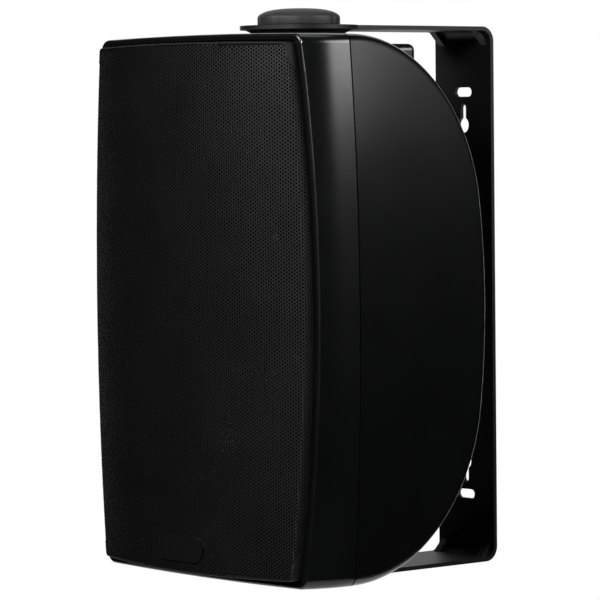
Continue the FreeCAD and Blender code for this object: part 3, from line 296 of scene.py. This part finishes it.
# Grille: a bowed sheet full of staggered holes, its sides folded back and its ends hemmed
grille = dict(half=96.8 * mm, top=153.0 * mm, corner=3.0 * mm, barrel=1150.0 * mm, crown=3500.0 * mm,
              bow=330.0 * mm, front=-228.7 * mm, ledge=-203.5 * mm, sheet=1.0 * mm, fold=1.6 * mm,
              flap=5.6 * mm, endFold=0.7 * mm, hem=0.15 * mm, proud=0.09 * mm)
# The edge share sets how far in from the outer side of the fold the painted shade begins, as a share of the
# fold's radius
holes = dict(pitch=2.08 * mm, radius=0.66 * mm, sideBorder=1.2 * mm, endGap=0.3 * mm, spare=6.0 * mm,
             paintedShadeShare=0.7, bands=3)
hem = dict(tuck=0.3 * mm, slant=0.1 * mm, sideRise=1.4 * mm, sideStep=0.05 * mm, leastCorner=0.25 * mm,
           change=9.0 * mm, changeFrom=12.0 * mm, runSteps=96, cornerSteps=8, foldPoints=7)


# Half width at height z, and height at x: sides and ends bow outward on wide circles.
def grilleHalf(z, inset):
    return grille["half"] - inset - z * z / (2 * grille["barrel"])


def grilleTop(x, inset):
    return grille["top"] - inset - x * x / (2 * grille["crown"])


# Angle on the bow where the side fold starts, and the y of the fold's centre, at height z: the fold is a
# small circle that touches the bow from inside and the straight side.
def foldStart(z):
    reach = grille["bow"] - grille["fold"]
    side = grilleHalf(z, 0.0) - grille["fold"]
    middle = grille["front"] + grille["bow"]
    return np.arcsin(side / reach), middle - np.sqrt(reach ** 2 - side ** 2)


# Length of sheet from the middle to the end of the side fold.
def foldEnd(z):
    angle, _ = foldStart(z)
    return grille["bow"] * angle + grille["fold"] * (math.pi / 2 - angle)


# A point of the sheet at length u from the middle, height z and a depth under its face: first along the
# bow, then round the fold, then straight back.
def onSheet(u, z, depth):
    length = np.abs(u)
    start, foldY = foldStart(z)
    bowAngle = length / grille["bow"]
    bowX = (grille["bow"] - depth) * np.sin(bowAngle)
    bowY = grille["front"] + grille["bow"] - (grille["bow"] - depth) * np.cos(bowAngle)
    foldAngle = np.minimum(start + (length - grille["bow"] * start) / grille["fold"], math.pi / 2)
    foldX = grilleHalf(z, 0.0) - grille["fold"] + (grille["fold"] - depth) * np.sin(foldAngle)
    past = np.maximum(length - foldEnd(z), 0.0)
    backY = foldY - (grille["fold"] - depth) * np.cos(foldAngle) + past
    onBow = bowAngle <= start
    return np.sign(u) * np.where(onBow, bowX, foldX), np.where(onBow, bowY, backY)


# Holes stand in columns, every other column shifted by half a pitch. Each hole is a six-sided opening;
# webs join facing sides of neighbours and small triangles fill between three holes.
def perforatedField():
    pitch = holes["pitch"]
    radius = holes["radius"]
    step = pitch * math.sqrt(3) / 2
    reach = int((grille["half"] + grille["flap"] + holes["spare"]) / step)
    rise = int(grille["top"] / pitch) + 1
    column = np.arange(-reach, reach + 1)
    row = np.arange(-rise, rise + 1)
    odd = (column % 2)[:, None]
    centreU = np.repeat(column[:, None] * step, len(row), 1)
    centreZ = row[None, :] * pitch + odd * pitch / 2
    turn = np.radians(np.arange(6) * 60.0)
    sideRoom = foldEnd(centreZ) + grille["flap"] - np.abs(centreU)
    endRoom = grilleTop(np.minimum(np.abs(centreU), grille["half"]), holes["endGap"]) - np.abs(centreZ)
    present = np.minimum(sideRoom, endRoom) > radius
    opened = present & (sideRoom > holes["sideBorder"] + radius) & (endRoom > grille["hem"] + radius)
    pointU = centreU[..., None] + radius * np.cos(turn)
    pointZ = centreZ[..., None] + radius * np.sin(turn)
    index = np.arange(pointU.size).reshape(pointU.shape)

    def shifted(columns, rows):
        return np.roll(index, (-columns, -rows), (0, 1)), np.roll(present, (-columns, -rows), (0, 1))

    above, hasAbove = shifted(0, 1)
    level, hasLevel = shifted(1, 0)
    higher, hasHigher = shifted(1, 1)
    lower, hasLower = shifted(1, -1)
    isOdd = np.broadcast_to(odd == 1, present.shape)
    high = np.where(isOdd[..., None], higher, level)
    hasHigh = np.where(isOdd, hasHigher, hasLevel)
    low = np.where(isOdd[..., None], level, lower)
    hasLow = np.where(isOdd, hasLevel, hasLower)

    def pick(mask, *corners):
        return np.stack([grid[mask][:, number] for grid, number in corners], 1)

    solid = present & ~opened
    quads = np.concatenate([
        pick(present & hasAbove, (index, 1), (above, 5), (above, 4), (index, 2)),
        pick(present & hasHigh, (index, 0), (high, 4), (high, 3), (index, 1)),
        pick(present & hasLow, (index, 5), (low, 3), (low, 2), (index, 0)),
        pick(solid, (index, 0), (index, 1), (index, 2), (index, 3)),
        pick(solid, (index, 0), (index, 3), (index, 4), (index, 5))])
    triangles = np.concatenate([
        pick(present & hasAbove & hasHigh, (index, 1), (high, 3), (above, 5)),
        pick(present & hasHigh & hasLow, (index, 0), (low, 2), (high, 4)),
        quads[:, [0, 1, 2]], quads[:, [0, 2, 3]]])
    return pointU.ravel(), pointZ.ravel(), triangles


# Gives a patch of triangles a back face and walls along every open edge.
def thickened(u, z, triangles):
    used, compact = np.unique(triangles, return_inverse=True)
    face = compact.reshape(-1, 3)
    count = len(used)
    u, z = u[used], z[used]
    edges = np.concatenate([face[:, [0, 1]], face[:, [1, 2]], face[:, [2, 0]]])
    forward = edges[:, 0] * count + edges[:, 1]
    backward = edges[:, 1] * count + edges[:, 0]
    rim = edges[~np.isin(forward, backward)]
    walls = np.stack([rim[:, 1], rim[:, 0], rim[:, 0] + count, rim[:, 1] + count], 1)
    skins = [np.stack([*onSheet(u, z, depth), z], 1) for depth in (0.0, grille["sheet"])]
    return np.concatenate(skins), [np.concatenate([face, face[:, ::-1] + count]), walls]


# The field in bands, one above the other; faces past the start of the side fold take the edge finish, whose
# darker tone is painted shade from the frame's lip, and which is also duller.
def makeField():
    u, z, triangles = perforatedField()
    middle = z[triangles].mean(1)
    cuts = np.linspace(-grille["top"], grille["top"], holes["bands"] + 1)
    pieces = []
    for number in range(holes["bands"]):
        chosen = triangles[(middle >= cuts[number]) & (middle < cuts[number + 1])]
        points, faces = thickened(u, z, chosen)
        piece = meshObject("grilleField%d" % (number + 1), points, faces)
        piece.data.shade_flat()
        piece.data.materials.append(materials["grille_paint"])
        piece.data.materials.append(materials["grille_fold_shade"])
        middles = np.empty(len(piece.data.polygons) * 3, np.float32)
        piece.data.polygons.foreach_get("center", middles)
        middles = middles.reshape(-1, 3)
        # Faces near the outer side, in the fold, get the painted shade
        paintedShadeFolds = np.abs(middles[:, 0]) > grilleHalf(middles[:, 2], holes["paintedShadeShare"] * grille["fold"])
        piece.data.polygons.foreach_set("material_index", paintedShadeFolds.astype(np.int32))
        pieces.append(piece)
    return pieces


# A closed run round the grille: bowed sides and ends, and corner arcs that touch both. The weight is 1
# at the ends and corners and falls to 0 along the sides.
def grilleOutline(inset):
    corner = max(grille["corner"] - inset, hem["leastCorner"])
    tip = np.array([grille["half"] - inset, grille["top"] - inset])
    for _ in range(6):  # each round brings the tip closer to where side and end cross
        tip = np.array([grilleHalf(tip[1], inset), grilleTop(tip[0], inset)])
    lean = math.atan2(tip[1], grille["barrel"])
    fall = math.pi / 2 - math.atan2(tip[0], grille["crown"])
    sideWay = np.array([math.cos(lean), math.sin(lean)])
    endWay = np.array([math.cos(fall), math.sin(fall)])
    middle = tip - corner * (sideWay + endWay) / (1 + sideWay @ endWay)
    along = np.linspace(-1, 1, hem["runSteps"] + 1)[:-1]
    turn = np.linspace(lean, fall, hem["cornerSteps"] + 1)[:-1]
    sideZ = along * (middle + corner * sideWay)[1]
    endX = -along * (middle + corner * endWay)[0]
    arc = np.stack([np.cos(turn), np.sin(turn)], 1)
    back = np.stack([-np.cos(turn[::-1]), np.sin(turn[::-1])], 1)
    upper = np.concatenate([np.stack([grilleHalf(sideZ, inset), sideZ], 1), middle + corner * arc,
                            np.stack([endX, grilleTop(endX, inset)], 1),
                            middle * (-1, 1) + corner * back])
    blend = np.clip((np.abs(sideZ) - sideZ.max() + hem["changeFrom"]) / hem["change"], 0, 1)
    weight = np.concatenate([blend * blend * (3 - 2 * blend), np.ones(len(upper) - len(sideZ))])
    return np.concatenate([upper, -upper]), np.concatenate([weight, weight])


# Hem: at the ends it runs from a narrow border over a fold to the ledge behind; along the sides it is
# only the plain lower part of the folded side. The section returns inside, one sheet thickness in.
def makeHem():
    fold = grille["endFold"]
    proud = grille["proud"]
    border = fold + grille["hem"]
    turn = np.radians(np.linspace(0, 90, hem["foldPoints"]))
    outer = [(border, hem["tuck"]), (border - hem["slant"], -proud)]
    outer += [(fold * (1 - math.sin(a)) - proud, fold * (1 - math.cos(a)) - proud) for a in turn]
    sheet = grille["sheet"]
    inner = [(inset + sheet, max(depth, 0.0) + sheet) for inset, depth in reversed(outer)]
    sideDepth = grille["fold"] + grille["flap"] - hem["sideRise"]
    rings = []
    for number, (inset, depth) in enumerate(outer + [(-proud, None), (sheet, None)] + inner):
        flat, weight = grilleOutline(inset)
        level = number if number < len(outer) else 2 * len(outer) + 1 - number
        sideInset = -proud if number <= len(outer) else sheet
        side, _ = grilleOutline(sideInset)
        flat = side + (flat - side) * weight[:, None]
        bow = grille["front"] + grille["bow"] - np.sqrt(grille["bow"] ** 2 - flat[:, 0] ** 2)
        if depth is None:
            y = np.full(len(flat), grille["ledge"])
        else:
            y = bow + weight * depth + (1 - weight) * (sideDepth + hem["sideStep"] * level)
        rings.append(np.stack([flat[:, 0], y, flat[:, 1]], 1))
    points = np.stack(rings)
    faces = gridFaces(points.shape[0], points.shape[1], True, True)
    piece = meshObject("grilleHem", points.reshape(-1, 3), [faces[:, ::-1]])
    shadeByAngle(piece, 40)
    # The hem takes the edge finish: its darker tone is painted shade from the frame's lip
    piece.data.materials.append(materials["grille_fold_shade"])
    return piece


grillePieces = makeField() + [makeHem()]
for piece in grillePieces:
    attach(piece, "cabinet")
    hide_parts("grille")
print("grille made:", sum(len(piece.data.polygons) for piece in grillePieces), "faces")


# Clamp knob: a low dome with a plain skirt over the washer and eight soft finger grooves
knob = dict(radius=24.5 * mm, seat=165.25 * mm, top=174.2 * mm, shoulder=168.4 * mm, skirt=164.4 * mm,
            wall=3.6 * mm, bore=8.05 * mm, deep=7.0 * mm, power=2.8, chamfer=0.5 * mm, edge=0.15 * mm,
            groove=0.55 * mm, grooves=8, width=5.0, phase=17.8, fadeFrom=35.0, fadeOver=40.0,
            firstSlope=4.0, rings=30, segments=192)


# The dome follows (r / radius) ** power + rise ** 2 = 1; below it come the straight skirt, the hollow under
# it and the bore of the stud. Each groove is a bell-shaped dent in the radius that fades towards the top.
def makeKnob():
    slope = np.linspace(knob["firstSlope"], 90, knob["rings"])
    domeR = knob["radius"] * np.sin(np.radians(slope)) ** (2 / knob["power"])
    domeZ = knob["shoulder"] + (knob["top"] - knob["shoulder"]) * np.cos(np.radians(slope))
    rim = knob["radius"]
    inside = rim - knob["wall"]
    foot = knob["skirt"]
    boreTop = knob["seat"] + knob["deep"]
    under = np.array([(rim, foot + knob["chamfer"]), (rim - knob["edge"], foot + knob["edge"]),
                      (rim - knob["chamfer"], foot), (inside, foot), (inside, knob["seat"]),
                      (knob["bore"], knob["seat"]), (knob["bore"], boreTop)])
    radius = np.concatenate([domeR, under[:, 0]])[:, None]
    height = np.concatenate([domeZ, under[:, 1]])[:, None]
    domeFade = np.clip((slope - knob["fadeFrom"]) / knob["fadeOver"], 0, 1) ** 2
    fade = np.concatenate([domeFade, np.ones(3), np.zeros(4)])[:, None]
    turn = np.linspace(0, 360, knob["segments"] + 1)[None, :-1]
    step = 360 / knob["grooves"]
    off = (turn - knob["phase"] + step / 2) % step - step / 2
    radius = radius - knob["groove"] * fade * np.exp(-(off / knob["width"]) ** 2)
    angle = np.radians(turn)
    ring = np.stack([pivot.x + radius * np.cos(angle), pivot.y + radius * np.sin(angle),
                     height + 0 * angle], 2)
    rows, columns = ring.shape[:2]
    poles = np.array([(pivot.x, pivot.y, knob["top"]), (pivot.x, pivot.y, boreTop)])
    first = np.arange(columns)
    last = first + (rows - 1) * columns
    top = np.stack([np.full(columns, rows * columns), first, np.roll(first, -1)], 1)
    end = np.stack([np.full(columns, rows * columns + 1), np.roll(last, -1), last], 1)
    faces = gridFaces(rows, columns, False, True)[:, ::-1]
    piece = meshObject("clampKnob", np.concatenate([ring.reshape(-1, 3), poles]), [faces, top, end])
    shadeByAngle(piece, 35)
    return piece


knobPiece = makeKnob()
knobPiece.data.materials.append(materials["knob"])
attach(knobPiece, "knob")
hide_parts("pivot_knob")
print("knob made:", len(knobPiece.data.polygons), "faces")


# Driver surrounds, seen through the holes: each ring is cut in equal sectors, and each sector bends across
# its own radius;
# the sectors are fixed pieces, not attached to the cone's or the dome's body
rolls = {
    "wooferRoll": dict(node="woofer_surround", body="woofer_moving", slot="rubber", rise=-57.0 * mm,
                       sectors=18, inner=59.0 * mm, outer=71.0 * mm, middle=65.0 * mm, half=4.8 * mm,
                       thick=0.95 * mm, innerAt=-195.5 * mm, outerAt=-197.95 * mm, crest=4.65 * mm),
    "tweeterRoll": dict(node="tweeter_surround", body="tweeter_moving", slot="dome", rise=100.0 * mm,
                        sectors=12, inner=12.52 * mm, outer=17.45 * mm, middle=15.0 * mm, half=2.2 * mm,
                        thick=0.5 * mm, innerAt=-194.5 * mm, outerAt=-194.5 * mm, crest=0.95 * mm),
}
rollGrid = dict(arcPoints=19, sectorPoints=7, narrower=0.8)


# The section is a half round between two flat lips, and its base slopes evenly from the inner to the outer
# lip. The back is the same curve one thickness behind, a little narrower. Each sector is the section turned
# about the driver's axis, with flat ends that meet its neighbours'.
def makeRoll(name):
    roll = rolls[name]
    turn = np.radians(np.linspace(180, 0, rollGrid["arcPoints"]))
    share = 0.5 + 0.5 * np.cos(turn)  # 0 at the inner lip, 1 at the outer lip

    def side(half, back):
        base = roll["innerAt"] + (roll["outerAt"] - roll["innerAt"]) * share + back
        radius = np.concatenate([[roll["inner"]], roll["middle"] + half * np.cos(turn), [roll["outer"]]])
        y = np.concatenate([base[:1], base - roll["crest"] * np.sin(turn), base[-1:]])
        return np.stack([radius, y], 1)

    front = side(roll["half"], 0.0)
    back = side(roll["half"] - rollGrid["narrower"] * roll["thick"], roll["thick"])
    section = np.concatenate([front, back[::-1]])
    count = len(front)
    strip = np.arange(count - 1)
    cap = np.stack([strip, strip + 1, 2 * count - 2 - strip, 2 * count - 1 - strip], 1)
    wide = 2 * math.pi / roll["sectors"]
    pieces = []
    for number in range(roll["sectors"]):
        angle = wide * (number + np.linspace(0, 1, rollGrid["sectorPoints"]))
        points = np.stack([section[:, :1] * np.cos(angle), section[:, 1:] + 0 * angle,
                           roll["rise"] + section[:, :1] * np.sin(angle)], 2)
        rows, columns = points.shape[:2]
        faces = gridFaces(rows, columns, True, False)[:, ::-1]
        piece = meshObject("%s%02d" % (name, number), points.reshape(-1, 3),
                           [faces, cap[:, ::-1] * columns, cap * columns + columns - 1])
        shadeByAngle(piece, 50)
        piece.data.materials.append(materials[roll["slot"]])
        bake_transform(piece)
        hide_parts(roll["node"])
        pieces.append(piece)
    return pieces


rollPieces = [piece for name in rolls for piece in makeRoll(name)]
print("surrounds made:", len(rollPieces), "sectors")


# Floor, dark screen, lamps, white world and camera
floor = dict(size=9.0, level=-1.60, colour=0.86, rough=0.9, glow=0.9)
screen = dict(radius=3.2, low=-42.0, high=84.0, start=-96.0, end=205.0, colour=0.004, rough=1.0,
              columns=61, rows=25)
lamps = {
    "frontSoft": dict(towards=(-0.22, -0.90, 0.54), distance=1.5, width=0.6, height=0.6, power=25.0),
    "rearRight": dict(towards=(0.86, 0.44, 0.48), distance=1.0, width=0.8, height=0.4, power=12.0),
    "sideGlow": dict(towards=(0.34, 0.29, 0.21), distance=0.49, width=0.06, height=0.16, power=0.075),
    "lipGlow": dict(towards=(0.50, -0.80, 0.38), distance=1.6, width=0.25, height=0.35, power=26.0),
    "overhead": dict(towards=(0.10, 0.15, 1.0), distance=2.0, width=0.9, height=0.9, power=4.0),
}
whiteWorld = dict(shown=1.0, fill=0.22)
lens = dict(azimuth=49.842, elevation=2.934, distance=2.1255, focal=214.345, sensor=36.0, roll=-0.590,
            right=-0.970 * mm, up=1.192 * mm)


# White to the camera and in reflections; a plain dimmer level for the light that it adds.
def whiteFactor(tree):
    path = tree.nodes.new("ShaderNodeLightPath")
    seen = mathNode(tree, "ADD", path.outputs["Is Camera Ray"], path.outputs["Is Glossy Ray"])
    seen = mathNode(tree, "ADD", seen, path.outputs["Is Transmission Ray"])
    return mathNode(tree, "MINIMUM", seen, 1.0)


def makeWorld():
    world = bpy.data.worlds.new("whiteWorld")
    bpy.context.scene.world = world
    world.use_nodes = True
    tree = world.node_tree
    ground = tree.nodes["Background"]
    ground.inputs["Color"].default_value = (1.0, 1.0, 1.0, 1.0)
    level = tree.nodes.new("ShaderNodeMapRange")
    level.inputs["To Min"].default_value = whiteWorld["fill"]
    level.inputs["To Max"].default_value = whiteWorld["shown"]
    tree.links.new(whiteFactor(tree), level.inputs["Value"])
    tree.links.new(level.outputs["Result"], ground.inputs["Strength"])


# A plain grey material for the stage.
def stageMaterial(name, look):
    material = bpy.data.materials.new(name)
    material.use_nodes = True
    shader = material.node_tree.nodes["Principled BSDF"]
    shader.inputs["Base Color"].default_value = (look["colour"], look["colour"], look["colour"], 1.0)
    shader.inputs["Roughness"].default_value = look["rough"]
    return material, shader


def makeFloor():
    half = floor["size"] / 2
    points = np.array([(-half, -half, 0), (half, -half, 0), (half, half, 0), (-half, half, 0)], float)
    points[:, 2] = floor["level"]
    piece = meshObject("floor", points, [np.array([[0, 1, 2, 3]])])
    material, shader = stageMaterial("floorPaper", floor)
    tree = material.node_tree
    shader.inputs["Emission Color"].default_value = (1.0, 1.0, 1.0, 1.0)
    glow = mathNode(tree, "MULTIPLY", whiteFactor(tree), floor["glow"])
    tree.links.new(glow, shader.inputs["Emission Strength"])
    piece.data.materials.append(material)


# Dark studio screen: part of a ball round the front and right, seen only in reflections.
def makeScreen():
    turn = np.radians(np.linspace(screen["start"], screen["end"], screen["columns"]))[None, :]
    rise = np.radians(np.linspace(screen["low"], screen["high"], screen["rows"]))[:, None]
    x = pivot.x + screen["radius"] * np.cos(rise) * np.sin(turn)
    y = pivot.y - screen["radius"] * np.cos(rise) * np.cos(turn)
    z = pivot.z + screen["radius"] * np.sin(rise) + 0 * turn
    points = np.stack([x, y, z], 2)
    piece = meshObject("darkScreen", points.reshape(-1, 3), [gridFaces(points.shape[0], points.shape[1])])
    material, shader = stageMaterial("screenCloth", screen)
    shader.inputs["Specular IOR Level"].default_value = 0.0
    piece.data.materials.append(material)
    piece.visible_camera = False


def makeLamp(name, look):
    light = bpy.data.lights.new(name, "AREA")
    light.shape = "RECTANGLE"
    light.size = look["width"]
    light.size_y = look["height"]
    light.energy = look["power"]
    lamp = bpy.data.objects.new(name, light)
    towards = Vector(look["towards"]).normalized()
    lamp.location = pivot + towards * look["distance"]
    lamp.rotation_euler = towards.to_track_quat("Z", "Y").to_euler()
    bpy.context.scene.collection.objects.link(lamp)


# Camera on a ray from the pivot, turned a little so that the pivot sits where the photo has it.
def makeCamera():
    a = math.radians(lens["azimuth"])
    e = math.radians(lens["elevation"])
    away = Vector((math.sin(a) * math.cos(e), -math.cos(a) * math.cos(e), math.sin(e)))
    right = Vector((math.cos(a), math.sin(a), 0.0))
    up = away.cross(right)
    place = pivot + away * lens["distance"]
    aim = pivot + right * lens["right"] + up * lens["up"]
    back = (place - aim).normalized()
    side = Vector((0, 0, 1)).cross(back).normalized()
    above = back.cross(side)
    turn = Matrix((side, above, back)).transposed() @ Matrix.Rotation(math.radians(lens["roll"]), 3, "Z")
    camera = bpy.data.objects.new("camera", bpy.data.cameras.new("camera"))
    camera.data.lens = lens["focal"]
    camera.data.sensor_width = lens["sensor"]
    camera.matrix_world = Matrix.Translation(place) @ turn.to_4x4()
    bpy.context.scene.collection.objects.link(camera)
    bpy.context.scene.camera = camera


makeWorld()
makeFloor()
makeScreen()
for name, look in lamps.items():
    makeLamp(name, look)
makeCamera()
bpy.context.scene.view_settings.view_transform = "Standard"
print("stage set")
